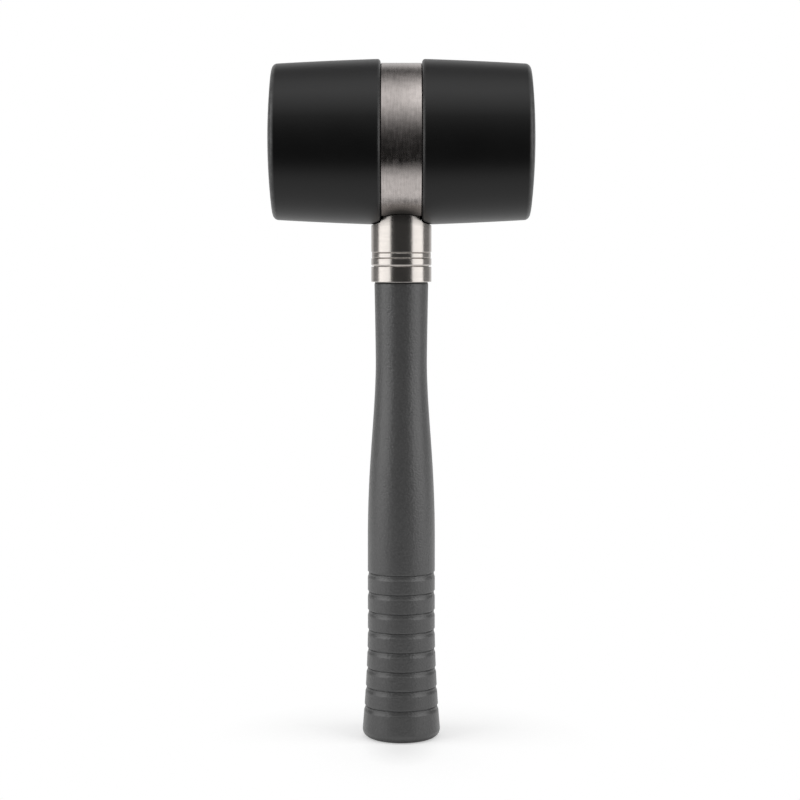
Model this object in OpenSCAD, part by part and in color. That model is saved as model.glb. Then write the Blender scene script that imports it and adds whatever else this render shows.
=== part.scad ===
// Soft face hammer. Two rubber faces screw onto the ends of a light alloy hub, a steel band
// covers the hub between them, and a tube pinned into the hub carries the socket and the grip.
// Millimetres. The hammer stands on its butt: the origin is the middle of the butt, +Z runs up
// the handle, and the head lies along X.

/* [Soft faces] */
// Diameter of a face at its rim, beside the band
face_rim_d = 78.5; // [76:0.1:90]
// Diameter of a face at its striking end
face_tip_d = 73.4; // [68:0.1:84]
// Length of a face from its seat to the crown of its dome
face_len = 53.6; // [45:0.1:75]
// Swell of a face's side beyond a straight taper
face_swell = 0.15; // [0:0.05:1]
// Height of the domed striking end
dome_rise = 2.4; // [0.5:0.1:5]
// Radius of the striking edge
tip_round = 2.6; // [1:0.1:6]
// Radius of the edge beside the band
rim_round = 1.5; // [0.5:0.1:3]

/* [Face fixing] */
// Thread diameter of a face's stud
stud_d = 16; // [12:0.5:20]
// Distance left between the ends of the two studs
stud_gap = 4; // [2:0.1:12]
// Width across flats of the stud's head, inside the rubber
stud_head_w = 24; // [20:0.1:32]
// Height of the stud's head
stud_head_h = 10; // [6:0.1:14]
// Bevel at the end of a stud
stud_bevel = 1; // [0.5:0.1:2]
// Diameter of the plate behind the rubber
plate_d = 50; // [46:0.1:60]
// Thickness of that plate
plate_t = 3; // [2:0.1:6]
// Diameter of the friction washer under a face
washer_d = 38; // [28:0.1:41]
// Thickness of the friction washer
washer_t = 2; // [1:0.1:4]

/* [Centre of the head] */
// Diameter of the steel band
band_d = 74.8; // [70:0.1:77.5]
// Width of the steel band
band_w = 19.5; // [16:0.1:26]
// Wall of the steel band
band_wall = 2.8; // [1.5:0.1:5]
// Bevel on the band's edges
band_bevel = 0.4; // [0.1:0.1:1]
// Diameter of the hub's spigots, which carry the faces
spigot_d = 42; // [40:0.1:48]
// Length of a spigot beyond the band
spigot_h = 8; // [4:0.1:14]
// Metal between the studs and the top of the handle tube
hub_web = 3; // [2:0.1:6]
// Diameter of the spring pin that holds the handle tube
pin_d = 5; // [3:0.1:7]
// Wall of the spring pin
pin_wall = 1; // [0.5:0.1:1.2]
// Width of the pin's slit
pin_slit_w = 1; // [0.5:0.1:2]
// Depth of the pin's ends below the hub's sides
pin_sink = 0.5; // [0.2:0.1:2]
// Distance between the pin and the spigot above it
pin_land = 1.5; // [1:0.1:3]

/* [Socket and collar] */
// Diameter of the socket and its collar
socket_d = 28.9; // [28:0.1:34]
// Height of the socket from its deep groove to the rims of the faces
socket_h = 19.3; // [12:0.1:40]
// Length of the slope from the socket's saddle out to the rims of the faces
saddle_slope = 2.5; // [1:0.1:6]
// Width of the deep groove above the collar
deep_groove_w = 0.5; // [0.4:0.1:3]
// Depth of that groove
deep_groove_t = 1.2; // [1:0.1:1.6]
// Height of the socket's recessed ring above the deep groove
inlay_rise = 3.7; // [1:0.1:6]
// Width of the recessed ring
inlay_w = 2.5; // [2:0.1:6]
// Depth of the recessed ring
inlay_t = 0.25; // [0.1:0.05:0.6]
// Depth of the fine line along each edge of the ring
inlay_line_t = 0.5; // [0.2:0.05:0.9]
// Width of that line
inlay_line_w = 0.8; // [0.4:0.1:0.9]
// Height of the collar
collar_h = 7.3; // [6:0.1:14]
// Wall of the collar where it grips the socket
collar_wall = 2.6; // [2:0.1:3.4]
// Radius of the collar's lower edge
collar_round = 0.6; // [0.2:0.1:0.9]
// Bevel on the collar's upper edge
collar_bevel = 0.3; // [0.1:0.1:0.6]
// Bevel on the socket's lower edge
socket_bevel = 0.9; // [0.1:0.1:1.1]

/* [Handle tube] */
// Outside diameter of the tube
tube_d = 16; // [12:0.1:17]
// Wall of the tube
tube_wall = 2; // [1:0.1:3]
// Length of the end plug inside the tube
plug_len = 12; // [6:0.1:30]
// Thickness of the end plug's head
plug_head_t = 2; // [1:0.1:5]

/* [Grip] */
// Diameter of the grip at the collar
neck_d = 25.9; // [24.5:0.1:26.6]
// Diameter of the grip at its waist
waist_d = 24.7; // [23:0.1:30]
// Diameter of the grip at the palm
palm_d = 32.6; // [28:0.1:38]
// Diameter of the grip at the butt
butt_d = 37.8; // [33:0.1:46]
// Radius of the butt's lower edge
butt_round = 3.9; // [2:0.1:9]
// Length of the flare from the butt to the palm
flare_len = 50.9; // [30:0.1:80]
// Length of the straight palm
palm_len = 38.7; // [20:0.1:70]
// Length of the taper from the palm to the waist
swell_len = 90.2; // [60:0.1:120]
// Length of the neck from the waist to the collar
neck_len = 38; // [20:0.1:60]
// Length of the grip's end inside the collar
grip_tuck = 3; // [1:0.1:4.5]
// Thickness of rubber under the end plug
butt_floor = 8; // [4:0.1:14]
// Number of rings cut round the grip
grip_ring_count = 8; // [3:1:9]
// Height of the lowest ring above the butt
grip_ring_z = 15.6; // [12:0.1:24]
// Distance from ring to ring
grip_ring_pitch = 9.35; // [6:0.01:12]
// Width of a ring
grip_ring_w = 2.2; // [1:0.1:4]
// Width of a ring's floor
grip_ring_floor_w = 0.4; // [0.1:0.1:0.9]
// Depth of a ring
grip_ring_t = 0.5; // [0.3:0.1:1.6]

/* [Fits] */
// Gap between pieces that are pressed, moulded or screwed together
fit = 0.05; // [0.02:0.01:0.1]
// Gap between flat faces that seat on each other
seat_gap = 0.1; // [0.05:0.01:0.2]
// Gap between a face and the pieces that it turns past
face_gap = 0.3; // [0.2:0.05:0.6]

/* [Hidden] */
$fn = 96;

// Radii
rim_r = face_rim_d / 2;
tip_r = face_tip_d / 2;
stud_r = stud_d / 2;
plate_r = plate_d / 2;
washer_r = washer_d / 2;
band_r = band_d / 2;
band_bore_r = band_r - band_wall;
hub_r = band_bore_r - fit;
spigot_r = spigot_d / 2;
pin_r = pin_d / 2;
socket_r = socket_d / 2;
seat_r = socket_r - collar_wall;
tube_r = tube_d / 2;
tube_bore_r = tube_r - tube_wall;
neck_r = neck_d / 2;
waist_r = waist_d / 2;
palm_r = palm_d / 2;
butt_r = butt_d / 2;

// Places along the head, from its middle outwards
side_x = band_w / 2;
face_x = side_x + seat_gap;
crown_x = face_x + face_len;
spigot_x = side_x + spigot_h;
washer_x = spigot_x + seat_gap;
plate_x = washer_x + washer_t + seat_gap;
stud_head_x = plate_x + plate_t + fit;
stud_end_x = stud_gap / 2;

// Heights up the handle
palm_z = butt_round + flare_len;
swell_z = palm_z + palm_len;
waist_z = swell_z + swell_len;
collar_z = waist_z + neck_len;
grip_top_z = collar_z + grip_tuck;
ledge_z = grip_top_z + seat_gap;
collar_top_z = collar_z + collar_h;
socket_z = collar_top_z + deep_groove_w;
head_z = socket_z + socket_h + face_gap + rim_r;
tube_top_z = head_z - stud_r - hub_web;
tube_end_z = butt_floor + plug_head_t + 2 * fit;
pin_z = head_z - spigot_r - pin_land - pin_r;

// Shape of the face's side and dome
dome_r = (tip_r * tip_r + dome_rise * dome_rise) / (2 * dome_rise);
dome_x = crown_x - dome_r;
tip_x = dome_x + sqrt(pow(dome_r - tip_round, 2) - pow(tip_r - tip_round, 2));
tip_tangent = atan2(tip_x - dome_x, tip_r - tip_round);
side_tilt = atan((rim_r - tip_r) / (tip_x - face_x - rim_round));

// How sharply the grip's radius bends in each stretch
flare_ease = 1.7;
swell_ease = 1.25;
neck_ease = 1.25;

// Colours
rubber_black = [0.08, 0.08, 0.08];
rubber_grey = [0.33, 0.33, 0.33];
steel_brushed = [0.66, 0.64, 0.62];
steel_turned = [0.75, 0.73, 0.71];
alloy = [0.80, 0.81, 0.82];
zinc = [0.70, 0.71, 0.73];
fibre = [0.42, 0.16, 0.10];
nylon = [0.15, 0.15, 0.16];

// Points along an arc of radius r about a centre, from its first step to its last
function arc(centre, r, from, to, steps = 8, first = 0) = [
    for (i = [first:steps])
        let (a = from + (to - from) * i / steps)
        centre + r * [cos(a), sin(a)]
];

// An S-shaped step from 0 to 1
function smooth(t) = t * t * (3 - 2 * t);

// Turns a solid made along +Z to lie along +X
module along_x() {
    rotate([0, 90, 0]) children();
}

// Places a solid made along +X from the head's middle on the left or the right of the head
module on_side(side) {
    translate([0, 0, head_z]) rotate([0, 0, side == "left" ? 180 : 0]) along_x() children();
}

// A ring between two radii, from one place to another along its axis
module sleeve(outer, inner, from, to) {
    rotate_extrude() translate([inner, from]) square([outer - inner, to - from]);
}

// Face: its side swells between rim and tip, its tip rounds into a domed striking end
function face_side(t) = [
    rim_r + (tip_r - rim_r) * t + 4 * face_swell * t * (1 - t),
    face_x + rim_round + (tip_x + tip_round * sin(side_tilt) - face_x - rim_round) * t
];

face_outline = concat(
    [[0, face_x]],
    arc([rim_r - rim_round, face_x + rim_round], rim_round, -90, 0),
    [for (i = [1:9]) face_side(i / 10)],
    arc([tip_r - tip_round, tip_x], tip_round, side_tilt, tip_tangent),
    arc([0, dome_x], dome_r, tip_tangent, 90, steps = 12, first = 1)
);

module soft_face(side) {
    color(rubber_black) on_side(side) difference() {
        rotate_extrude() polygon(face_outline);
        cylinder(r = max(spigot_r, washer_r) + face_gap, h = plate_x);
        translate([0, 0, plate_x - fit]) cylinder(r = plate_r + fit, h = plate_t + 2 * fit);
        translate([0, 0, stud_head_x - fit]) stud_head(fit);
    }
}

module left_face() { soft_face("left"); }
module right_face() { soft_face("right"); }

// Plate: spreads the stud's pull over the rubber that is moulded round it
module backing_plate(side) {
    color(zinc) on_side(side) sleeve(plate_r, stud_r + fit, plate_x, plate_x + plate_t);
}

module left_plate() { backing_plate("left"); }
module right_plate() { backing_plate("right"); }

// Stud: its six-sided head is held by the rubber, its shank screws into the hub
module stud_head(grow) {
    cylinder(d = (stud_head_w + 2 * grow) / cos(30), h = stud_head_h + 2 * grow, $fn = 6);
}

module face_stud(side) {
    color(zinc) on_side(side) union() {
        translate([0, 0, stud_head_x]) stud_head(0);
        rotate_extrude() polygon([
            [0, stud_end_x],
            [stud_r - stud_bevel, stud_end_x],
            [stud_r, stud_end_x + stud_bevel],
            [stud_r, stud_head_x + fit],
            [0, stud_head_x + fit]
        ]);
    }
}

module left_stud() { face_stud("left"); }
module right_stud() { face_stud("right"); }

// Washer: keeps a tightened face from working loose
module friction_washer(side) {
    color(fibre) on_side(side) sleeve(washer_r, stud_r + face_gap, washer_x, washer_x + washer_t);
}

module left_washer() { friction_washer("left"); }
module right_washer() { friction_washer("right"); }

// Hub: a disc inside the band with a spigot on each side, bored for studs, tube and pin
module head_hub() {
    color(alloy) difference() {
        translate([0, 0, head_z]) along_x() {
            sleeve(hub_r, stud_r + fit, -side_x, side_x);
            sleeve(spigot_r, stud_r + fit, -spigot_x, spigot_x);
        }
        translate([0, 0, socket_z]) cylinder(r = tube_r + fit, h = tube_top_z + seat_gap - socket_z);
        translate([-band_w, 0, pin_z]) along_x() cylinder(r = pin_r + fit, h = 2 * band_w);
    }
}

// Band: a brushed sleeve pressed over the hub, drilled for the tube
module head_band() {
    color(steel_brushed) difference() {
        translate([0, 0, head_z]) along_x() rotate_extrude() polygon([
            [band_bore_r, -side_x],
            [band_r - band_bevel, -side_x],
            [band_r, -side_x + band_bevel],
            [band_r, side_x - band_bevel],
            [band_r - band_bevel, side_x],
            [band_bore_r, side_x]
        ]);
        translate([0, 0, socket_z]) cylinder(r = tube_r + fit, h = head_z - socket_z);
    }
}

// Pin: a rolled spring pin through hub and tube, slit along its upper side
module hub_pin() {
    pin_len = band_w - 2 * pin_sink;
    color(zinc) translate([0, 0, pin_z]) along_x() difference() {
        sleeve(pin_r, pin_r - pin_wall, -pin_len / 2, pin_len / 2);
        translate([-pin_d, -pin_slit_w / 2, -pin_len]) cube([pin_d, pin_slit_w, 2 * pin_len]);
    }
}

// Socket: a turned sleeve, hollowed at the top to saddle the band and clear the faces
inlay_z = socket_z + inlay_rise;
inlay_top_z = inlay_z + inlay_w;

socket_outline = [
    [tube_r + fit, ledge_z],
    [seat_r, ledge_z],
    [seat_r, collar_top_z],
    [socket_r - deep_groove_t, collar_top_z],
    [socket_r - deep_groove_t, socket_z],
    [socket_r - socket_bevel, socket_z],
    [socket_r, socket_z + socket_bevel],
    [socket_r, inlay_z - inlay_line_w / 2],
    [socket_r - inlay_line_t, inlay_z],
    [socket_r - inlay_t, inlay_z + inlay_line_w / 2],
    [socket_r - inlay_t, inlay_top_z - inlay_line_w / 2],
    [socket_r - inlay_line_t, inlay_top_z],
    [socket_r, inlay_top_z + inlay_line_w / 2],
    [socket_r, head_z],
    [tube_r + fit, head_z]
];

saddle_x = side_x - saddle_slope;
saddle_end_x = face_x + rim_round / 2;
saddle_r = band_r + fit;
saddle_end_r = max(rim_r + face_gap, saddle_r);

saddle_cut = [
    [0, -socket_d],
    [saddle_end_r, -socket_d],
    [saddle_end_r, -saddle_end_x],
    [saddle_r, -saddle_x],
    [saddle_r, saddle_x],
    [saddle_end_r, saddle_end_x],
    [saddle_end_r, socket_d],
    [0, socket_d]
];

module socket() {
    color(steel_turned) difference() {
        rotate_extrude() polygon(socket_outline);
        translate([0, 0, head_z]) along_x() rotate_extrude() polygon(saddle_cut);
    }
}

// Collar: a turned ring on the socket's lower end, with a skirt round the end of the grip
skirt_r = neck_r + seat_gap;
collar_r = max(socket_r, skirt_r + 2 * collar_round);

collar_outline = concat(
    [[skirt_r, collar_z]],
    arc([collar_r - collar_round, collar_z + collar_round], collar_round, -90, 0),
    [
        [collar_r, collar_top_z - collar_bevel],
        [collar_r - collar_bevel, collar_top_z],
        [seat_r + fit, collar_top_z],
        [seat_r + fit, ledge_z],
        [skirt_r, ledge_z]
    ]
);

module collar() {
    color(steel_turned) rotate_extrude() polygon(collar_outline);
}

// Handle tube: runs from the end plug inside the butt up into the hub
module handle_tube() {
    color(zinc) difference() {
        sleeve(tube_r, tube_bore_r, tube_end_z, tube_top_z);
        translate([-tube_d, 0, pin_z]) along_x() cylinder(r = pin_r + fit, h = 2 * tube_d);
    }
}

// End plug: closes the tube so that the moulded grip can't run into it
module end_plug() {
    plug_z = butt_floor + fit;
    color(nylon) rotate_extrude() polygon([
        [0, plug_z],
        [tube_r, plug_z],
        [tube_r, plug_z + plug_head_t],
        [tube_bore_r - fit, plug_z + plug_head_t],
        [tube_bore_r - fit, plug_z + plug_head_t + plug_len],
        [0, plug_z + plug_head_t + plug_len]
    ]);
}

// Grip: flares from palm to butt, narrows to a waist and opens again to the collar
function grip_r(z) =
    z < palm_z ? palm_r + (butt_r - palm_r) * pow((palm_z - z) / flare_len, flare_ease)
    : z < swell_z ? palm_r
    : z < waist_z ? palm_r + (waist_r - palm_r) * smooth(pow((z - swell_z) / swell_len, swell_ease))
    : waist_r + (neck_r - waist_r) * pow((z - waist_z) / neck_len, neck_ease);

function grip_stretch(from, to, steps) = [
    for (i = [0:steps])
        let (z = from + (to - from) * i / steps)
        [grip_r(z), z]
];

// A ring's cut: two slopes down to a narrow floor, with the land above it up to the next ring
function ring_middle(i) = grip_ring_z + i * grip_ring_pitch;
function ring_low(i) = ring_middle(i) - grip_ring_w / 2;
function ring_high(i) = ring_middle(i) + grip_ring_w / 2;

function ring_floor(i) = [
    for (z = [ring_middle(i) - grip_ring_floor_w / 2, ring_middle(i) + grip_ring_floor_w / 2])
        [grip_r(z) - grip_ring_t, z]
];

function ring_and_land(i) = concat(ring_floor(i), grip_stretch(ring_high(i), ring_low(i + 1), 3));

last_ring = grip_ring_count - 1;

grip_outline = concat(
    [[0, 0]],
    arc([butt_r - butt_round, butt_round], butt_round, -90, 0),
    [[grip_r(ring_low(0)), ring_low(0)]],
    [for (i = [0:last_ring - 1]) each ring_and_land(i)],
    ring_floor(last_ring),
    grip_stretch(ring_high(last_ring), collar_z, 40),
    [[neck_r, grip_top_z], [0, grip_top_z]]
);

module grip() {
    color(rubber_grey) difference() {
        rotate_extrude() polygon(grip_outline);
        translate([0, 0, butt_floor]) cylinder(r = tube_r + fit, h = collar_z);
    }
}

left_face();
right_face();
left_plate();
right_plate();
left_stud();
right_stud();
left_washer();
right_washer();
head_hub();
head_band();
hub_pin();
socket();
collar();
handle_tube();
end_plug();
grip();
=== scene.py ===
"""Soft face hammer: two screw-in rubber faces on a banded alloy hub, with a tube handle under a moulded grip.

The pieces follow in the order in which the hammer is put together, and the studio comes last. Metres,
+Z up along the handle, X through both faces.
"""

import bpy
import numpy as np
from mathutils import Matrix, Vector


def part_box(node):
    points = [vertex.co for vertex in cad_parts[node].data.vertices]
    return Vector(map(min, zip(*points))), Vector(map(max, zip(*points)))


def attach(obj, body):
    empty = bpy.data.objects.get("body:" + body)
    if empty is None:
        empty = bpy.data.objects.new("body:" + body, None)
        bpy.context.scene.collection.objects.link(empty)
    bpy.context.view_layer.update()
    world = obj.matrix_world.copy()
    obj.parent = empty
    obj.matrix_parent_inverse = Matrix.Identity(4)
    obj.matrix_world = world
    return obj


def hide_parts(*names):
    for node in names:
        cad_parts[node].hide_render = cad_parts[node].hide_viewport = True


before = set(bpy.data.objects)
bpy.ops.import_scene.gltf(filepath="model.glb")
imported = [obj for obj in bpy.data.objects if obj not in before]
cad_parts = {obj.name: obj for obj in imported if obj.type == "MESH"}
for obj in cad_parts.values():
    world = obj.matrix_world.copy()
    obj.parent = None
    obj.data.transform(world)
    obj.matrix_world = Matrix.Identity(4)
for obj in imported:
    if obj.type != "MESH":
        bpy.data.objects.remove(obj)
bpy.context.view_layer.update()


# Handle tube. A drawn steel tube, bright zinc plated, that carries the head inside the grip.
# The finish has faint draw lines along the tube and the cloudy patches of a plating bath. It is also the
# finish of the spring pin, the face plates and the studs.
def add_node(tree, kind, inputs=None, **settings):
    """A new node with its settings; inputs gives a socket, by name or place, its value or its source."""
    node = tree.nodes.new(kind)
    for setting, choice in settings.items():
        setattr(node, setting, choice)
    for socket, value in (inputs or {}).items():
        if isinstance(value, bpy.types.NodeSocket):
            tree.links.new(value, node.inputs[socket])
        else:
            node.inputs[socket].default_value = value
    return node


def add_group(name, inputs, outputs):
    """An empty shader group with inputs, each with a default, and value outputs; returns tree and sockets."""
    tree = bpy.data.node_groups.new(name, "ShaderNodeTree")
    for title, default in inputs.items():
        kind = "NodeSocketFloat" if isinstance(default, float) else "NodeSocketVector"
        socket = tree.interface.new_socket(title, in_out="INPUT", socket_type=kind)
        socket.default_value = default
    for title in outputs:
        tree.interface.new_socket(title, in_out="OUTPUT", socket_type="NodeSocketFloat")
    return tree, tree.nodes.new("NodeGroupInput").outputs, tree.nodes.new("NodeGroupOutput").inputs


def add_material(name, **constants):
    """A material of one Principled shader with constants on its sockets; returns it, its tree and shader."""
    material = bpy.data.materials.new(name)
    material.use_nodes = True
    tree = material.node_tree
    shader = tree.nodes["Principled BSDF"]
    for socket, value in constants.items():
        shader.inputs[socket.replace("_", " ")].default_value = value
    return material, tree, shader


def use_group(tree, group, **inputs):
    """A group placed in a material, with its own values or links; returns its outputs."""
    sockets = {title.replace("_", " "): value for title, value in inputs.items()}
    return add_node(tree, "ShaderNodeGroup", sockets, node_tree=group).outputs


def ranged(tree, value, low, high, first=0.0, last=1.0):
    """Low where the value is first, high where it is last, and straight in between."""
    sockets = {"Value": value, "From Min": first, "From Max": last, "To Min": low, "To Max": high}
    return add_node(tree, "ShaderNodeMapRange", sockets).outputs["Result"]


def mixed(tree, mask, first, second):
    """The first colour where the mask is 0 and the second where it is 1."""
    return add_node(tree, "ShaderNodeMix", {0: mask, 6: first, 7: second}, data_type="RGBA").outputs[2]


# Marks of metalwork: Line is noise drawn out along the axes that have few lines a metre, and Patch is slow
# cloudy noise.
metal_marks, given, result = add_group(
    "metal_marks", {"Lines": (1.0, 1.0, 1.0), "Patches": 100.0}, ("Line", "Patch")
)
place = metal_marks.nodes.new("ShaderNodeTexCoord").outputs["Object"]
drawn = add_node(metal_marks, "ShaderNodeVectorMath", {0: place, 1: given["Lines"]}, operation="MULTIPLY")
line = add_node(metal_marks, "ShaderNodeTexNoise", {"Vector": drawn.outputs[0], "Scale": 1.0, "Detail": 3.0})
patch = add_node(
    metal_marks, "ShaderNodeTexNoise", {"Vector": place, "Scale": given["Patches"], "Detail": 3.0}
)
metal_marks.links.new(line.outputs[0], result["Line"])
metal_marks.links.new(patch.outputs[0], result["Patch"])

zinc_dark = (0.50, 0.51, 0.54, 1.0)
zinc_light = (0.66, 0.67, 0.70, 1.0)
zinc_roughness = (0.24, 0.42)
zinc_plate, tree, shader = add_material("zinc_plate", Metallic=1.0)
marks = use_group(tree, metal_marks, Lines=(2600.0, 2600.0, 60.0), Patches=160.0)
tree.links.new(mixed(tree, marks["Patch"], zinc_dark, zinc_light), shader.inputs["Base Color"])
tree.links.new(ranged(tree, marks["Line"], *zinc_roughness), shader.inputs["Roughness"])


def finish_node(name, material):
    """Gives a CAD node, kept as it is, its material."""
    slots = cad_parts[name].data.materials
    slots.clear()
    slots.append(material)


finish_node("handle_tube", zinc_plate)

# End plug. A black nylon plug pressed into the tube's lower end before the grip is moulded, so that no rubber
# runs up the tube. It keeps its moulded grain.

# Moulded grain: Height is a field of small round pebbles with finer noise on them, and Patch is slow
# cloudy noise.
moulded_grain, given, result = add_group(
    "moulded_grain", {"Grains": 2000.0, "Patches": 60.0}, ("Height", "Patch")
)
place = moulded_grain.nodes.new("ShaderNodeTexCoord").outputs["Object"]
pebbles = add_node(
    moulded_grain,
    "ShaderNodeTexVoronoi",
    {"Vector": place, "Scale": given["Grains"], "Smoothness": 0.8},
    feature="SMOOTH_F1",
)
fine = add_node(
    moulded_grain, "ShaderNodeTexNoise", {"Vector": place, "Scale": given["Grains"], "Detail": 4.0}
)
patch = add_node(
    moulded_grain, "ShaderNodeTexNoise", {"Vector": place, "Scale": given["Patches"], "Detail": 2.0}
)
height = add_node(
    moulded_grain,
    "ShaderNodeMath",
    {0: fine.outputs[0], 1: pebbles.outputs["Distance"]},
    operation="SUBTRACT",
)
moulded_grain.links.new(height.outputs[0], result["Height"])
moulded_grain.links.new(patch.outputs[0], result["Patch"])

nylon_dark = (0.014, 0.014, 0.015, 1.0)
nylon_light = (0.024, 0.024, 0.025, 1.0)
nylon_grain = 0.00002
nylon_roughness = (0.42, 0.56)
black_nylon, tree, shader = add_material("black_nylon", IOR=1.53)
grain = use_group(tree, moulded_grain, Grains=3000.0, Patches=200.0)
bump = add_node(tree, "ShaderNodeBump", {"Distance": nylon_grain, "Height": grain["Height"]})
tree.links.new(mixed(tree, grain["Patch"], nylon_dark, nylon_light), shader.inputs["Base Color"])
tree.links.new(ranged(tree, grain["Patch"], *nylon_roughness), shader.inputs["Roughness"])
tree.links.new(bump.outputs[0], shader.inputs["Normal"])
finish_node("end_plug", black_nylon)


# Grip. Grey rubber, moulded in one piece over the tube: a waist under the collar, a palm swell, and a flared
# butt with eight rings pressed into it. Its skin has a fine pebbled grain from the mould. The rings' lower
# edges carry painted highlights; painted shade darkens the foot, the lower half and the line under the
# collar.
def filleted(corners, closed=False, steps=8, shoulder=0.0002):
    """Outline (radius, place, edge) along corners (radius, place, fillet).

    Where two sides meet at an angle of twice h, a fillet f is an arc about the point f / sin h along their
    bisector, and it leaves the sides f / tan h from the corner. A shoulder point lies just outside each end
    of the arc. Edge rises from 0 to 1 and falls again along an arc that stands out. An open outline keeps
    its two ends as they are.
    """
    corners = np.array(corners, dtype=float)
    if closed:
        corners = np.vstack([corners[-1:], corners, corners[:1]])
    point = corners[1:-1, None, :2]
    fillet = corners[1:-1, None, 2:]
    back = corners[:-2, None, :2] - point
    ahead = corners[2:, None, :2] - point
    back /= np.linalg.norm(back, axis=2, keepdims=True)
    ahead /= np.linalg.norm(ahead, axis=2, keepdims=True)
    half = np.arccos((back * ahead).sum(axis=2, keepdims=True)) / 2
    centre = point + (back + ahead) * fillet / np.sin(2 * half)
    reach = fillet / np.tan(half)
    sweep = np.pi - 2 * half
    share = np.linspace(0, 1, steps)[None, :, None]
    start = point + back * reach
    end = point + ahead * reach
    arc = (start - centre) * np.sin((1 - share) * sweep) + (end - centre) * np.sin(share * sweep)
    arc = centre + arc / np.sin(sweep)
    rounded = np.concatenate([start + back * shoulder, arc, end + ahead * shoulder], axis=1)
    stands_out = (ahead[..., :1] * back[..., 1:] - ahead[..., 1:] * back[..., :1]) > 0
    edge = stands_out * np.sin(np.pi * np.pad(share, ((0, 0), (1, 1), (0, 0)), mode="edge"))
    outline = np.concatenate([rounded, edge], axis=2).reshape(-1, 3)
    if not closed:
        ends = np.pad(corners[[0, -1], :2], ((0, 0), (0, 1)))
        outline = np.vstack([ends[:1], outline, ends[1:]])
    least_step = 1e-6
    apart = np.linalg.norm(np.diff(outline[:, :2], axis=0), axis=1) > least_step
    return outline[np.append(True, apart)]


def arc_points(centre, radius, first, last, steps):
    """Outline (radius, place, edge) round an arc that stands out, at equal steps between two angles."""
    share = np.linspace(0, 1, steps)
    angle = first + (last - first) * share
    across = centre[0] + radius * np.cos(angle)
    along = centre[1] + radius * np.sin(angle)
    return np.column_stack([across, along, np.sin(np.pi * share)])


def smooth(t):
    """An S-shaped step: 0 up to t = 0, 1 from t = 1, and 3 t squared less 2 t cubed between."""
    t = np.clip(t, 0, 1)
    return t * t * (3 - 2 * t)


def turned(name, radius, place, edge, centre=(0, 0, 0), along=(0, 0, 1), across=(1, 0, 0)):
    """A turned piece: row i and step j of the grid lie at radius[i, j] from the axis, place[i, j] along it.

    The point is centre + place * along + radius * (cos a * across + sin a * up), with a the j-th of equal
    angles and up square to both. The outline has the material on its left. A first or last row of radius 0
    is one point; an outline without them joins its last row to its first.
    """
    rows, around = np.broadcast_shapes(radius.shape, place.shape)
    angle = np.arange(around) * 2 * np.pi / around
    up = np.cross(along, across)
    spoke = np.outer(np.cos(angle), across) + np.outer(np.sin(angle), up)
    radius = np.broadcast_to(radius, (rows, around))[..., None]
    place = np.broadcast_to(place, (rows, around))[..., None]
    grid = np.array(centre) + place * np.array(along) + radius * spoke
    number = np.arange(rows * around).reshape(rows, around)
    edge = np.repeat(edge, around)
    poles = bool(radius[0, 0, 0] == 0)
    points = grid.reshape(-1, 3)
    if poles:
        inner = slice(around - 1, rows * around - around + 1)
        points = points[inner]
        edge = edge[inner]
        number = np.clip(number - around + 1, 0, len(points) - 1)
    below = number if not poles else number[:-1]
    above = np.roll(number, -1, axis=0)[: len(below)]
    quads = np.stack([below, np.roll(below, -1, axis=1), np.roll(above, -1, axis=1), above], axis=2)
    faces = quads.reshape(-1, 4).tolist()
    if poles:
        first = quads[0][:, 1:].tolist()
        last = quads[-1][:, :3].tolist()
        faces = first + quads[1:-1].reshape(-1, 4).tolist() + last
    mesh = bpy.data.meshes.new(name)
    mesh.from_pydata(points.tolist(), [], faces)
    mesh.attributes.new("edge", "FLOAT", "POINT").data.foreach_set("value", edge)
    mesh.shade_smooth()
    piece = bpy.data.objects.new(name, mesh)
    bpy.context.collection.objects.link(piece)
    return piece


def turned_outline(name, outline, around=192, **axis):
    """A turned piece that is alike all round: each step of the grid has the outline's radius and place."""
    radius = np.broadcast_to(outline[:, :1], (len(outline), around))
    return turned(name, radius, outline[:, 1:2], outline[:, 2], **axis)


def fit_piece(piece, material, body, slot, *nodes):
    """Gives a new piece its material, lets it ride on its body and stand for its CAD nodes."""
    piece.data.materials.append(material)
    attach(piece, body)
    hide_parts(*nodes)


grip_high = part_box("grip")[1]
butt_r = grip_high.x
butt_inner_r = 0.4 * butt_r
butt_round = 0.0039
butt_arc_end = -0.02
butt_floor = 0.008
tube_fit = 0.00005
tube_hole_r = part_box("handle_tube")[1].x + tube_fit
fine_round = 0.0001
palm_r = 0.0163
waist_r = 0.01235
neck_r = 0.01295
palm_z = 0.0548
swell_z = 0.0935
waist_z = 0.1837
collar_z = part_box("collar")[0].z
grip_top = grip_high.z
neck_chamfer = 0.0004
flare_power = 1.7
swell_power = 1.25
neck_power = 1.25
ring_count = 8
ring_first_z = 0.0156
ring_pitch = 0.00935
ring_z = ring_first_z + ring_pitch * np.arange(ring_count)

# One ring from below: places about its middle, the depth cut there, and the painted highlight on that edge.
ring_from = np.array([-2.6, -2.45, -2.2, -1.8, -1.4, -1.0, -0.5, -0.15, -0.05, 0.25, 0.4, 0.55, 0.75]) / 1000
ring_cut = np.array([0, 0.01, 0.06, 0.2, 0.34, 0.44, 0.48, 0.5, 0.85, 0.85, 0.25, 0.05, 0]) / 1000
ring_highlight = np.array([0, 0.3, 0.8, 0.4, 0, 0, 0, 0, 0, 0, 0, 0, 0])
between_rings = np.linspace(0.0014, 0.0062, 5)
below_rings = 0.003
above_rings = 0.007

# The reveal under the collar from below: places about the collar's lower edge, and the depth cut there.
reveal_from = np.array([-0.9, -0.75, -0.6, 0.3, 0.6]) / 1000
reveal_cut = np.array([0, 0.05, 0.3, 0.3, 0]) / 1000
below_reveal = 0.0014


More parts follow.
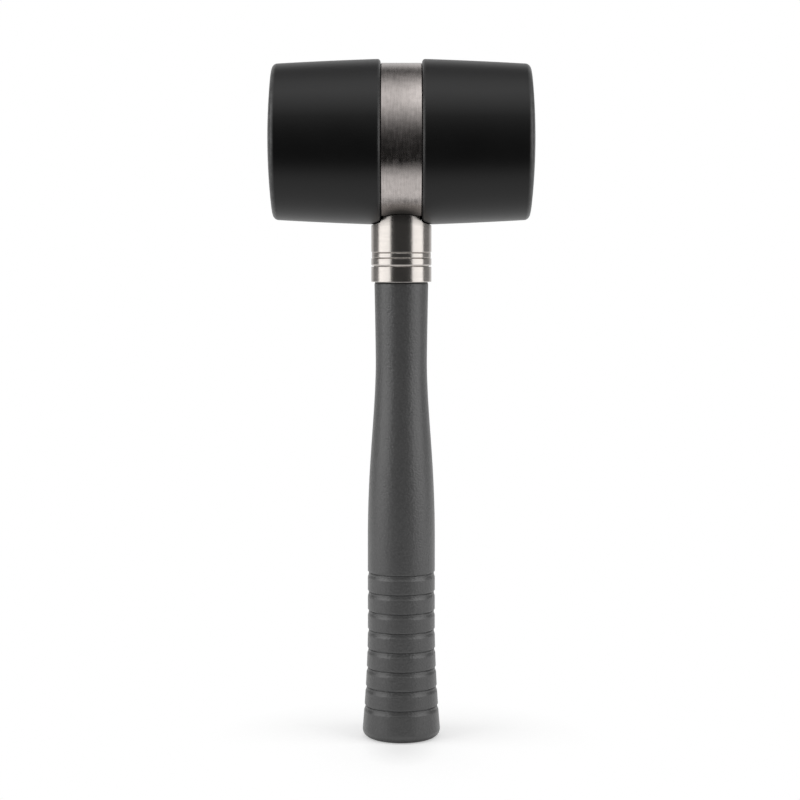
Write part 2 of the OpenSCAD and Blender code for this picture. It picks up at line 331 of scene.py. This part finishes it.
def grip_radius(z):
    """The grip's radius: a power curve up from the butt, a straight palm, an S down to the waist and a power
    curve up to the neck, less the rings and the reveal under the collar. A ring is a shallow hollow with a
    crisp lower edge and a narrow crevice under a short steep wall at the top."""
    down_flare = np.clip(palm_z - z, 0, None) / (palm_z - butt_round)
    up_swell = np.clip(z - swell_z, 0, None) / (waist_z - swell_z)
    up_neck = np.clip((z - waist_z) / (collar_z - waist_z), 0, 1)
    flare = palm_r + (butt_r - palm_r) * down_flare**flare_power
    swell = (waist_r - palm_r) * smooth(up_swell**swell_power)
    neck = (neck_r - waist_r) * up_neck**neck_power
    rings = np.interp(z[:, None] - ring_z, ring_from, ring_cut).sum(axis=1)
    return flare + swell + neck - rings - np.interp(z - collar_z, reveal_from, reveal_cut)


skin_z = np.concatenate([
    np.linspace(butt_round, ring_z[0] - below_rings, 7),
    (ring_z[:, None] + np.append(ring_from, between_rings)).ravel(),
    np.linspace(ring_z[-1] + above_rings, collar_z - below_reveal, 140),
    collar_z + reveal_from,
    [grip_top - neck_chamfer],
])
# Painted highlights along the rings' lower edges.
skin_edge = np.interp(skin_z[:, None] - ring_z, ring_from, ring_highlight).sum(axis=1)
side = np.column_stack([grip_radius(skin_z), skin_z, skin_edge])
butt = arc_points((butt_r - butt_round, butt_round), butt_round, -np.pi / 2, butt_arc_end, steps=14)
tube_hole = filleted([
    (neck_r - neck_chamfer, grip_top, 0),
    (tube_hole_r, grip_top, fine_round),
    (tube_hole_r, butt_floor, fine_round),
    (0, butt_floor, 0),
])
grip_outline = np.vstack([(0, 0, 0), (butt_inner_r, 0, 0), butt, side, tube_hole])
grip = turned_outline("moulded_grip", grip_outline, around=160)

# Worn and highlit edges: Mask is the piece's own edge value, broken up by noise. It marks wear, and on the
# rubber painted highlights as well.
worn_and_highlit_edges, given, result = add_group("worn_and_highlit_edges", {"Edge": 0.0, "Breaks": 300.0}, ("Mask",))
place = worn_and_highlit_edges.nodes.new("ShaderNodeTexCoord").outputs["Object"]
breaks = add_node(
    worn_and_highlit_edges, "ShaderNodeTexNoise", {"Vector": place, "Scale": given["Breaks"], "Detail": 4.0}
)
patchy = ranged(worn_and_highlit_edges, breaks.outputs[0], 0.6, 1.0, first=0.35, last=0.65)
mask = add_node(worn_and_highlit_edges, "ShaderNodeMath", {0: given["Edge"], 1: patchy}, operation="MULTIPLY")
worn_and_highlit_edges.links.new(mask.outputs[0], result["Mask"])

grey_dark = (0.078, 0.078, 0.078, 1.0)
grey_light = (0.103, 0.103, 0.103, 1.0)
# A paler grey, painted as highlights on the rings' lower edges and as wear on the butt's rounded edge.
grey_worn_and_highlit = (0.140, 0.140, 0.139, 1.0)
# Painted shade in a dark grey: at the foot, over the lower half and in a line under the collar.
grey_painted_shade = (0.020, 0.020, 0.020, 1.0)
foot_shade_low = 0.0005
foot_shade_high = 0.0028
lower_shade = 0.56
lower_shade_high = 0.105
collar_shade = 0.9
collar_shade_low = collar_z - 0.0011
collar_shade_high = collar_z - 0.0005
grip_grain = 0.00009
grip_roughness = (0.34, 0.39)
shaded_roughness = 0.9
grey_rubber, tree, shader = add_material("grey_rubber", IOR=1.7, Sheen_Weight=0.3, Sheen_Roughness=0.5)
grain = use_group(tree, moulded_grain, Grains=1000.0, Patches=90.0)
edge = add_node(tree, "ShaderNodeAttribute", attribute_name="edge").outputs["Fac"]
edge_mark = use_group(tree, worn_and_highlit_edges, Edge=edge, Breaks=400.0)
place = tree.nodes.new("ShaderNodeTexCoord").outputs["Object"]
height = add_node(tree, "ShaderNodeSeparateXYZ", {0: place}).outputs["Z"]
# Painted shade over the lower half, deepest at the foot, and in a line under the collar's lip.
lower_half_shade = ranged(tree, height, lower_shade, 0.0, first=foot_shade_high, last=lower_shade_high)
foot_and_lower_shade = ranged(tree, height, 1.0, lower_half_shade, first=foot_shade_low, last=foot_shade_high)
under_collar_shade = ranged(tree, height, 0.0, collar_shade, first=collar_shade_low, last=collar_shade_high)
painted_grip_shade = add_node(tree, "ShaderNodeMath", {0: foot_and_lower_shade, 1: under_collar_shade}, operation="MAXIMUM").outputs[0]
speckle = ranged(tree, grain["Height"], 0.0, 1.0, first=-0.25, last=0.45)
skin = mixed(tree, edge_mark["Mask"], mixed(tree, speckle, grey_dark, grey_light), grey_worn_and_highlit)
bump = add_node(tree, "ShaderNodeBump", {"Distance": grip_grain, "Height": grain["Height"]})
tree.links.new(mixed(tree, painted_grip_shade, skin, grey_painted_shade), shader.inputs["Base Color"])
grain_roughness = ranged(tree, grain["Patch"], *grip_roughness)
tree.links.new(ranged(tree, painted_grip_shade, grain_roughness, shaded_roughness, first=lower_shade), shader.inputs["Roughness"])
tree.links.new(bump.outputs[0], shader.inputs["Normal"])
fit_piece(grip, grey_rubber, "handle", "grip_rubber", "grip")

# Head hub. A disc of light alloy with a spigot on each side, turned about the head's axis and bored for the
# studs, the tube and the spring pin. Its turning marks run round the axis.
alloy_dark = (0.60, 0.61, 0.62, 1.0)
alloy_light = (0.76, 0.77, 0.78, 1.0)
alloy_roughness = (0.28, 0.44)
turned_alloy, tree, shader = add_material("turned_alloy", Metallic=1.0)
marks = use_group(tree, metal_marks, Lines=(4000.0, 90.0, 90.0), Patches=140.0)
tree.links.new(mixed(tree, marks["Line"], alloy_dark, alloy_light), shader.inputs["Base Color"])
tree.links.new(ranged(tree, marks["Patch"], *alloy_roughness), shader.inputs["Roughness"])
finish_node("head_hub", turned_alloy)

# Spring pin. Spring steel rolled into a slit tube and zinc plated. It is driven through the hub and the tube
# below the studs.
finish_node("hub_pin", zinc_plate)


# Head band. A steel sleeve pressed over the hub and brushed round its girth, so that its highlights stretch
# along the head. The brushing is uneven, the base colour is brighter about a spot on one upper edge, and
# painted shade darkens it above the socket.
def spot_distance(tree, spot, scale):
    """How far a place on the piece is from a spot, after each axis is multiplied by its own scale."""
    place = tree.nodes.new("ShaderNodeTexCoord").outputs["Object"]
    offset = add_node(tree, "ShaderNodeVectorMath", {0: place, 1: spot}, operation="SUBTRACT").outputs[0]
    scaled = add_node(tree, "ShaderNodeVectorMath", {0: offset, 1: scale}, operation="MULTIPLY").outputs[0]
    return add_node(tree, "ShaderNodeVectorMath", {0: scaled}, operation="LENGTH").outputs["Value"]


head_z = (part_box("head_band")[0].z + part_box("head_band")[1].z) / 2
band_dark = (0.43, 0.395, 0.38, 1.0)
band_light = (0.61, 0.56, 0.54, 1.0)
band_painted_shade = (0.055, 0.052, 0.050, 1.0)
# Painted shade low on the band, where it meets the socket.
joint_shade_spot = (0, 0, head_z - 0.0345)
joint_shade_reach = (50, 0, 150)
joint_shade_core = 0.24
# The base colour is brighter about a spot on the band's right upper edge.
bright_spot = (0.0105, 0, head_z + 0.023)
bright_reach = (90, 0, 40)
bright_gain = 1.36
band_bump = 0.000012
band_roughness = (0.22, 0.30)
brushed_band, tree, shader = add_material(
    "brushed_band", Metallic=1.0, Anisotropic=0.3, Anisotropic_Rotation=0.25
)
marks = use_group(tree, metal_marks, Lines=(1700.0, 150.0, 150.0), Patches=380.0)
mottle = add_node(tree, "ShaderNodeMath", {0: marks["Line"], 1: marks["Patch"]}, operation="ADD")
uneven = ranged(tree, mottle.outputs[0], 0.0, 1.0, first=0.7, last=1.3)
bump = add_node(tree, "ShaderNodeBump", {"Distance": band_bump, "Height": marks["Line"]})
girth = add_node(tree, "ShaderNodeTangent", direction_type="RADIAL", axis="X")
# Painted shade above the socket.
painted_joint_shade = ranged(tree, spot_distance(tree, joint_shade_spot, joint_shade_reach), 1.0, 0.0, first=joint_shade_core)
brightening = ranged(tree, spot_distance(tree, bright_spot, bright_reach), bright_gain, 1.0)
steel = mixed(tree, uneven, band_dark, band_light)
bright_steel = add_node(tree, "ShaderNodeVectorMath", {0: steel, "Scale": brightening}, operation="SCALE")
tree.links.new(mixed(tree, painted_joint_shade, bright_steel.outputs[0], band_painted_shade), shader.inputs["Base Color"])
tree.links.new(ranged(tree, uneven, *band_roughness), shader.inputs["Roughness"])
tree.links.new(bump.outputs[0], shader.inputs["Normal"])
tree.links.new(girth.outputs[0], shader.inputs["Tangent"])
finish_node("head_band", brushed_band)

# Socket. A sleeve turned from steel bar and pushed over the tube, with two fine lines cut round it and a deep
# groove above the collar. Its top is hollowed to saddle the band and to clear the faces. Its edges are
# broken, and painted shade darkens the corner under the band.
socket_low, socket_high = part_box("socket")
band_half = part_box("head_band")[1].x
band_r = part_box("head_band")[1].y
rim_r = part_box("right_face")[1].y
socket_r = socket_high.x
collar_wall = 0.0026
seat_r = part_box("collar")[1].x - collar_wall
collar_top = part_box("collar")[1].z
groove_top = 0.2295
groove_depth = 0.0012
groove_bevel = 0.0006
groove_round = 0.0002
line_low_z = 0.2332
line_high_z = 0.2357
line_half = 0.00035
line_depth = 0.0005
line_round = 0.00015
line_root_round = 0.00008
inlay_depth = 0.00025
saddle_flat = band_half - 0.0016
saddle_end = band_half + 0.00085
band_fit = 0.00005
face_gap = 0.0003
top_round = 0.0003
flat_top = head_z - rim_r - face_gap

socket_outline = filleted([
    (tube_hole_r, socket_low.z, fine_round),
    (seat_r, socket_low.z, fine_round),
    (seat_r, collar_top, fine_round),
    (socket_r - groove_depth, collar_top, fine_round),
    (socket_r - groove_depth, groove_top, fine_round),
    (socket_r - groove_bevel / 2, groove_top, fine_round),
    (socket_r, groove_top + groove_bevel, groove_round),
    (socket_r, line_low_z - line_half, line_round),
    (socket_r - line_depth, line_low_z, line_root_round),
    (socket_r - inlay_depth, line_low_z + line_half, line_round),
    (socket_r - inlay_depth, line_high_z - line_half, line_round),
    (socket_r - line_depth, line_high_z, line_root_round),
    (socket_r, line_high_z + line_half, line_round),
    (socket_r, flat_top, top_round),
    (tube_hole_r, flat_top, fine_round),
], closed=True)


def saddle_height(x, y):
    """Height of the saddle over a place x along the head and y across it: head_z less the root of R squared
    less y squared. R is the band's radius, and about the band's edge it widens in an S to the radius of the
    faces' rims."""
    widening = smooth((np.abs(x) - saddle_flat) / (saddle_end - saddle_flat))
    reach = band_r + band_fit + (rim_r + face_gap - band_r - band_fit) * widening
    return head_z - np.sqrt(reach**2 - y**2)


# The outline has a flat top. Above the fine lines its rows rise by more and more of the saddle's height.
plain_top = line_high_z + 0.001
saddle_low = flat_top - 0.002
socket_around = 256
angle = np.arange(socket_around) * 2 * np.pi / socket_around
socket_radius = np.repeat(socket_outline[:, :1], socket_around, axis=1)
lift = saddle_height(socket_radius * np.cos(angle), socket_radius * np.sin(angle)) - flat_top
raised = smooth((socket_outline[:, 1:2] - plain_top) / (saddle_low - plain_top))
socket = turned("turned_socket", socket_radius, socket_outline[:, 1:2] + raised * lift, socket_outline[:, 2])

socket_dark = (0.53, 0.495, 0.465, 1.0)
socket_light = (0.66, 0.62, 0.585, 1.0)
socket_bright = (0.75, 0.715, 0.685, 1.0)
socket_painted_shade = (0.045, 0.042, 0.040, 1.0)
corner_shade = 0.6
corner_shade_reach = 0.0045
steel_roughness = (0.24, 0.28)
turned_steel, tree, shader = add_material(
    "turned_steel", Metallic=1.0, Anisotropic=0.5, Anisotropic_Rotation=0.25
)
marks = use_group(tree, metal_marks, Lines=(70.0, 70.0, 3600.0), Patches=220.0)
edge = add_node(tree, "ShaderNodeAttribute", attribute_name="edge").outputs["Fac"]
edge_mark = use_group(tree, worn_and_highlit_edges, Edge=edge, Breaks=700.0)
from_axis = spot_distance(tree, (0, 0, head_z), (0, 1, 1))
# Painted shade in the corner under the band, fading out within a few millimetres.
painted_joint_shade = ranged(tree, from_axis, corner_shade, 0.0, first=band_r, last=band_r + corner_shade_reach)
steel = mixed(tree, painted_joint_shade, mixed(tree, marks["Line"], socket_dark, socket_light), socket_painted_shade)
girth = add_node(tree, "ShaderNodeTangent", direction_type="RADIAL", axis="Z")
tree.links.new(mixed(tree, edge_mark["Mask"], steel, socket_bright), shader.inputs["Base Color"])
tree.links.new(ranged(tree, marks["Patch"], *steel_roughness), shader.inputs["Roughness"])
tree.links.new(girth.outputs[0], shader.inputs["Tangent"])
fit_piece(socket, turned_steel, "handle", "socket_steel", "socket")

# Collar. A turned steel ring pressed on the socket's lower end, with a skirt that hides the end of the grip.
# Its lower lip is rounded.
collar_low, collar_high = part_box("collar")
skirt_gap = 0.0001
skirt_r = neck_r + skirt_gap
skirt_round = 0.0002
lip_round = 0.0003
collar_top_round = 0.00004
collar_outline = filleted([
    (skirt_r, collar_low.z, skirt_round),
    (socket_r, collar_low.z, lip_round),
    (socket_r, collar_high.z, collar_top_round),
    (seat_r + band_fit, collar_high.z, fine_round),
    (seat_r + band_fit, socket_low.z, fine_round),
    (skirt_r, socket_low.z, fine_round),
], closed=True)
collar = turned_outline("turned_collar", collar_outline)
fit_piece(collar, turned_steel, "handle", "socket_steel", "collar")

# Studs. Zinc-plated steel bolts with a coarse right-hand thread of 16 mm. The rubber is moulded round the
# six-sided head, and the thread screws into the hub.
sides = {"left": (-1, 0, 0), "right": (1, 0, 0)}
head_centre = (0, 0, head_z)
stud_end = 0.002
stud_r = 0.00795
stud_tip_r = stud_r - 0.0025
lead_in = 0.001
thread_pitch = 0.002
thread_depth = 0.0012
root_share = 0.15
flank_share = 0.7
rows_a_turn = 16
thread_end = 0.02125
stud_head_low = 0.023
stud_head_high = 0.033
stud_head_half = 0.012
head_chamfer = 0.0012
stud_around = 96
angle = np.arange(stud_around) * 2 * np.pi / stud_around

# Along a turn the thread is a triangle wave with its root and crest cut flat. It starts with a chamfer and
# runs out towards the head. The head's radius is half its width over the cosine of the angle from the middle
# of the nearest flat.
thread_x = np.arange(stud_end, thread_end, thread_pitch / rows_a_turn)[:, None]
turn = thread_x / thread_pitch - angle / (2 * np.pi)
ridge = np.clip((np.abs(2 * (turn % 1) - 1) - root_share) / flank_share, 0, 1)
runout = np.clip((thread_end - thread_x) / thread_pitch, 0, 1)
thread_r = stud_r - thread_depth * (1 - ridge) * runout
thread_r = np.minimum(thread_r, stud_r - lead_in + (thread_x - stud_end))
hexagon = stud_head_half / np.cos((angle - np.pi / 6) % (np.pi / 3) - np.pi / 6)
chamfer_r = np.minimum(hexagon, stud_head_half)
round_row = np.ones(stud_around)
stud_radius = np.vstack([
    0 * round_row,
    stud_tip_r * round_row,
    thread_r,
    stud_r * round_row,
    stud_r * round_row,
    chamfer_r,
    hexagon,
    hexagon,
    chamfer_r,
    0 * round_row,
])
stud_place = np.concatenate([
    [stud_end, stud_end],
    thread_x[:, 0],
    [thread_end, stud_head_low, stud_head_low, stud_head_low + head_chamfer],
    [stud_head_high - head_chamfer, stud_head_high, stud_head_high],
])
for hand, outward in sides.items():
    stud = turned(
        f"{hand}_threaded_stud",
        stud_radius,
        stud_place[:, None],
        np.zeros(len(stud_place)),
        centre=head_centre,
        along=outward,
        across=(0, outward[0], 0),
    )
    fit_piece(stud, zinc_plate, f"{hand}_head_face", "plated_steel", f"{hand}_stud")


# Face plates. Zinc-plated steel discs with broken edges, moulded into the backs of the faces, that spread the
# studs' pull over the rubber.
def fit_pair(title, outline, material, body, slot, node):
    """A turned piece on each side of the head, about the axis that points outwards there, fitted in place."""
    for hand, outward in sides.items():
        piece = turned_outline(
            f"{hand}_{title}", outline, centre=head_centre, along=outward, across=(0, outward[0], 0)
        )
        fit_piece(piece, material, f"{hand}_{body}", slot, f"{hand}_{node}")


plate_low, plate_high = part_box("right_plate")
plate_r = plate_high.y
plate_round = 0.0003
stud_hole_r = 0.00805
plate_hole_round = 0.0002
plate_outline = filleted([
    (stud_hole_r, plate_low.x, plate_hole_round),
    (plate_r, plate_low.x, plate_round),
    (plate_r, plate_high.x, plate_round),
    (stud_hole_r, plate_high.x, plate_hole_round),
], closed=True)
fit_pair("backing_plate", plate_outline, zinc_plate, "head_face", "plated_steel", "plate")

# Friction washers. Punched from red vulcanised fibre, they sit on the studs between the hub's spigots and the
# faces and keep a tightened face from working loose.
washer_low, washer_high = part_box("right_washer")
washer_r = washer_high.y
washer_round = 0.0005
washer_hole_r = 0.0083
washer_hole_round = 0.0002
washer_outline = filleted([
    (washer_hole_r, washer_low.x, washer_hole_round),
    (washer_r, washer_low.x, washer_round),
    (washer_r, washer_high.x, washer_round),
    (washer_hole_r, washer_high.x, washer_hole_round),
], closed=True)
fibre_dark = (0.22, 0.05, 0.032, 1.0)
fibre_light = (0.34, 0.085, 0.05, 1.0)
fibre_grain = 0.00004
fibre_roughness = (0.5, 0.7)
red_fibre, tree, shader = add_material("red_fibre", IOR=1.5)
grain = use_group(tree, moulded_grain, Grains=1800.0, Patches=260.0)
bump = add_node(tree, "ShaderNodeBump", {"Distance": fibre_grain, "Height": grain["Height"]})
tree.links.new(mixed(tree, grain["Patch"], fibre_dark, fibre_light), shader.inputs["Base Color"])
tree.links.new(ranged(tree, grain["Patch"], *fibre_roughness), shader.inputs["Roughness"])
tree.links.new(bump.outputs[0], shader.inputs["Normal"])
fit_pair("fibre_washer", washer_outline, red_fibre, "washer_slide", "washer_fibre", "washer")

# Faces. Black rubber, moulded round plate and stud: the sides taper and swell a little towards a rounded tip,
# and the striking end is slightly domed. The skin is smooth with a satin sheen, with painted highlights at
# its rim and tip, and a painted highlight lies on its upper side.
face_low, face_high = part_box("right_face")
face_x = face_low.x
crown_x = face_high.x
tip_r = 0.0371
face_swell = 0.00015
dome_rise = 0.0024
tip_round = 0.0026
rim_round = 0.0015
rim_highlight = 0.4
recess_r = 0.0213
recess_round = 0.0004
recess_x = 0.0199
stud_room_r = 0.0142
plate_gap = 0.00005

dome_r = (tip_r**2 + dome_rise**2) / (2 * dome_rise)
dome_x = crown_x - dome_r
tip_x = dome_x + np.sqrt((dome_r - tip_round) ** 2 - (tip_r - tip_round) ** 2)
tip_tangent = np.arctan2(tip_x - dome_x, tip_r - tip_round)
side_tilt = np.arctan((rim_r - tip_r + 4 * face_swell) / (tip_x - face_x - rim_round))
side_share = np.linspace(0.04, 0.99, 24)
side_end_x = tip_x + tip_round * np.sin(side_tilt)
face_side = np.column_stack([
    rim_r + (tip_r - rim_r) * side_share + 4 * face_swell * side_share * (1 - side_share),
    face_x + rim_round + (side_end_x - face_x - rim_round) * side_share,
    np.zeros(len(side_share)),
])
face_back = filleted([
    (0, stud_head_high + plate_gap, 0),
    (stud_room_r, stud_head_high + plate_gap, fine_round),
    (stud_room_r, stud_head_low, fine_round),
    (plate_r + plate_gap, stud_head_low, fine_round),
    (plate_r + plate_gap, recess_x, fine_round),
    (recess_r, recess_x, fine_round),
    (recess_r, face_x, recess_round),
    (rim_r, face_x, rim_round),
    (face_side[0, 0], face_side[0, 1], 0),
], steps=10)
# The painted highlight at the rim is weaker than at the tip.
face_back[:, 2] *= rim_highlight
tip = arc_points((tip_r - tip_round, tip_x), tip_round, side_tilt, tip_tangent, steps=14)
dome = arc_points((0, dome_x), dome_r, tip_tangent, np.pi / 2, steps=26)[1:]

# The dome is no edge, and its last row is exactly on the axis.
dome[:, 2] = 0
dome[-1, 0] = 0
face_outline = np.vstack([face_back, face_side[1:], tip, dome])

black_dark = (0.0065, 0.0065, 0.0066, 1.0)
black_light = (0.0085, 0.0085, 0.0085, 1.0)
# Painted highlight on the rim and the tip's rounded edge.
black_painted_highlight = (0.145, 0.145, 0.145, 1.0)
# Painted highlight: the upper side of each face is lighter, thinning again towards the very top.
black_top_highlight = (0.034, 0.034, 0.0345, 1.0)
top_highlight_low = head_z + 0.010
top_highlight_high = head_z + 0.022
top_highlight_thins = top_highlight_high + 0.004
top_highlight_end = head_z + 0.039
top_highlight_crown = 0.4
face_grain = 0.000012
face_roughness = (0.33, 0.38)
black_rubber, tree, shader = add_material("black_rubber", IOR=1.41)
grain = use_group(tree, moulded_grain, Grains=2600.0, Patches=70.0)
edge = add_node(tree, "ShaderNodeAttribute", attribute_name="edge").outputs["Fac"]
edge_mark = use_group(tree, worn_and_highlit_edges, Edge=edge, Breaks=260.0)
place = tree.nodes.new("ShaderNodeTexCoord").outputs["Object"]
height = add_node(tree, "ShaderNodeSeparateXYZ", {0: place}).outputs["Z"]
# Painted highlight on the upper side.
top_highlight_thinning = ranged(tree, height, 1.0, top_highlight_crown, first=top_highlight_thins, last=top_highlight_end)
top_highlight = ranged(tree, height, 0.0, top_highlight_thinning, first=top_highlight_low, last=top_highlight_high)
skin = mixed(tree, top_highlight, mixed(tree, grain["Patch"], black_dark, black_light), black_top_highlight)
bump = add_node(tree, "ShaderNodeBump", {"Distance": face_grain, "Height": grain["Height"]})
tree.links.new(mixed(tree, edge_mark["Mask"], skin, black_painted_highlight), shader.inputs["Base Color"])
tree.links.new(ranged(tree, grain["Patch"], *face_roughness), shader.inputs["Roughness"])
tree.links.new(bump.outputs[0], shader.inputs["Normal"])
fit_pair("rubber_face", face_outline, black_rubber, "head_face", "face_rubber", "face")

# Studio. A pale paper floor, a large soft lamp on each side, and the room's own glow from overhead, the far
# walls and the backdrop, with the camera's side left dark. The camera sees paper and room as white, and the
# floor keeps the hammer's shadow.
paper_half = 2.0
paper_front = -0.6
paper_back = 3.0
paper_mesh = bpy.data.meshes.new("paper_floor")
paper_corners = [
    (-paper_half, paper_front, 0),
    (paper_half, paper_front, 0),
    (paper_half, paper_back, 0),
    (-paper_half, paper_back, 0),
]
paper_mesh.from_pydata(paper_corners, [], [(0, 1, 2, 3)])
paper_floor = bpy.data.objects.new("paper_floor", paper_mesh)
bpy.context.collection.objects.link(paper_floor)

paper_bounce = 0.36
paper_shadow = 0.95
paper_glow = 0.42
paper_mirrored = 0.88
mirror_front = -0.44
mirror_near = -0.2
# A painted contact shadow round the butt, as a mirror sees the paper.
mirror_contact_shadow = 0.03
contact_near = 0.012
contact_far = 0.022
shadow_near = 0.03
shadow_far = 0.1
# A painted shadow on the paper in front of the butt.
foot_spot = (0, -0.022, 0)
foot_reach = (2, 1, 1)
foot_shadow = 0.88
foot_near = 0.006
foot_far = 0.038

# Light that only bounces meets plain matt paper. To the camera the paper is matt near the foot, where it
# takes the shadow, carries a painted shadow in front of the butt, and glows white further out. A mirror sees
# it glow, fading out towards the front, with a painted contact shadow round the butt.
paper = bpy.data.materials.new("white_paper")
paper.use_nodes = True
tree = paper.node_tree
tree.nodes.remove(tree.nodes["Principled BSDF"])
rays = tree.nodes.new("ShaderNodeLightPath").outputs
camera_ray = rays["Is Camera Ray"]
mirror_rays = {0: rays["Is Glossy Ray"], 1: rays["Is Transmission Ray"]}
mirror_ray = add_node(tree, "ShaderNodeMath", mirror_rays, operation="MAXIMUM").outputs[0]
seeing_ray = add_node(tree, "ShaderNodeMath", {0: camera_ray, 1: mirror_ray}, operation="MAXIMUM").outputs[0]
place = tree.nodes.new("ShaderNodeTexCoord").outputs["Object"]
from_butt = spot_distance(tree, (0, 0, 0), (1, 1, 1))
from_spot = spot_distance(tree, foot_spot, (1, 1, 1))
from_foot = spot_distance(tree, foot_spot, foot_reach)
painted_foot_shadow = ranged(tree, from_foot, foot_shadow, 1.0, first=foot_near, last=foot_far)
matt_near = add_node(tree, "ShaderNodeMath", {0: painted_foot_shadow, 1: paper_shadow}, operation="MULTIPLY").outputs[0]
glow_near = add_node(tree, "ShaderNodeMath", {0: painted_foot_shadow, 1: paper_glow}, operation="MULTIPLY").outputs[0]
shade = ranged(tree, from_spot, matt_near, 0.0, first=shadow_near, last=shadow_far)
light = ranged(tree, from_spot, glow_near, 1.0, first=shadow_near, last=shadow_far)
depth = add_node(tree, "ShaderNodeSeparateXYZ", {0: place}).outputs["Y"]
painted_contact_shadow = ranged(
    tree, from_butt, mirror_contact_shadow * paper_mirrored, paper_mirrored, first=contact_near, last=contact_far
)
mirrored = ranged(tree, depth, 0.0, painted_contact_shadow, first=mirror_front, last=mirror_near)
seen_light = add_node(tree, "ShaderNodeMix", {0: camera_ray, 2: mirrored, 3: light}).outputs[0]
seen_shade = add_node(tree, "ShaderNodeMath", {0: camera_ray, 1: shade}, operation="MULTIPLY").outputs[0]
matt = add_node(tree, "ShaderNodeBsdfDiffuse", {"Color": ranged(tree, seeing_ray, paper_bounce, seen_shade)})
glow = add_node(tree, "ShaderNodeEmission", {"Strength": ranged(tree, seeing_ray, 0.0, seen_light)})
sheet = add_node(tree, "ShaderNodeAddShader", {0: matt.outputs[0], 1: glow.outputs[0]})
tree.links.new(sheet.outputs[0], tree.nodes["Material Output"].inputs["Surface"])
paper_mesh.materials.append(paper)


def softbox(name, spot, aim, width, height, radiance):
    """A rectangular lamp at a spot, turned to its aim. Power is pi times area times radiance."""
    lamp = bpy.data.lights.new(name, "AREA")
    lamp.shape = "RECTANGLE"
    lamp.size = width
    lamp.size_y = height
    lamp.energy = np.pi * width * height * radiance
    holder = bpy.data.objects.new(name, lamp)
    bpy.context.collection.objects.link(holder)
    holder.location = spot
    holder.rotation_euler = (Vector(aim) - Vector(spot)).to_track_quat("-Z", "Y").to_euler()
    holder.visible_camera = False


side_distance = 1.2
side_height = 1.35
side_lift = 0.7
side_radiance = 1.7
side_lamps = {"left": (-69, 1.22), "right": (66.5, 1.09)}
for hand, (bearing, width) in side_lamps.items():
    sideways = side_distance * np.sin(np.radians(bearing))
    forward = side_distance * np.cos(np.radians(bearing))
    spot = (sideways, -forward, side_lift)
    softbox(f"{hand}_softbox", spot, (0, 0, side_lift), width, side_height, side_radiance)

# The room's glow: a lobe overhead on the camera's side, far walls that fade upwards, and a brighter backdrop.
room_dark = 0.018
room_side = 0.13
overhead_tilt = np.radians(68)
overhead_glow = 1.0
overhead_falloff = 5.0
backdrop_glow = 0.7
world = bpy.data.worlds.new("studio")
world.use_nodes = True
bpy.context.scene.world = world
tree = world.node_tree
camera_ray = tree.nodes.new("ShaderNodeLightPath").outputs["Is Camera Ray"]
direction = tree.nodes.new("ShaderNodeTexCoord").outputs["Generated"]
overhead_axis = (0, -np.cos(overhead_tilt), np.sin(overhead_tilt))
cosine = add_node(tree, "ShaderNodeVectorMath", {0: direction, 1: overhead_axis}, operation="DOT_PRODUCT")
facing = ranged(tree, cosine.outputs["Value"], 0.0, 1.0)
lobe = add_node(tree, "ShaderNodeMath", {0: facing, 1: overhead_falloff}, operation="POWER").outputs[0]
overhead = ranged(tree, lobe, room_dark, overhead_glow)
towards = add_node(tree, "ShaderNodeSeparateXYZ", {0: direction}).outputs
low_wall = ranged(tree, towards["Z"], room_side, 0.0, first=0.3, last=0.95)
wall = ranged(tree, towards["Y"], 0.0, low_wall, first=0.0, last=0.3)
backdrop = ranged(tree, towards["Y"], 0.0, backdrop_glow, first=0.56, last=0.85)
far_room = add_node(tree, "ShaderNodeMath", {0: wall, 1: backdrop}, operation="MAXIMUM").outputs[0]
room = add_node(tree, "ShaderNodeMath", {0: overhead, 1: far_room}).outputs[0]
seen = add_node(tree, "ShaderNodeMix", {0: camera_ray, 2: room, 3: 1.0})
tree.links.new(seen.outputs[0], tree.nodes["Background"].inputs["Strength"])
tree.nodes["Background"].inputs["Color"].default_value = (1, 1, 1, 1)

# The camera stands about a metre away at the socket's height, tilted down to the middle of the hammer.
camera_distance = 0.95
camera_z = 0.2422
camera_x = -0.00065
aim_z = 0.16473
frame_width = 0.3864
lens = bpy.data.cameras.new("photo_camera")
lens.sensor_fit = "HORIZONTAL"
pitch = np.arctan((camera_z - aim_z) / camera_distance)
lens.angle = 2 * np.arctan(frame_width / 2 * np.cos(pitch) / camera_distance)
camera = bpy.data.objects.new("photo_camera", lens)
bpy.context.collection.objects.link(camera)
camera.location = (camera_x, -camera_distance, camera_z)
camera.rotation_euler = (np.pi / 2 - pitch, 0, 0)
bpy.context.scene.camera = camera
bpy.context.scene.view_settings.view_transform = "Standard"
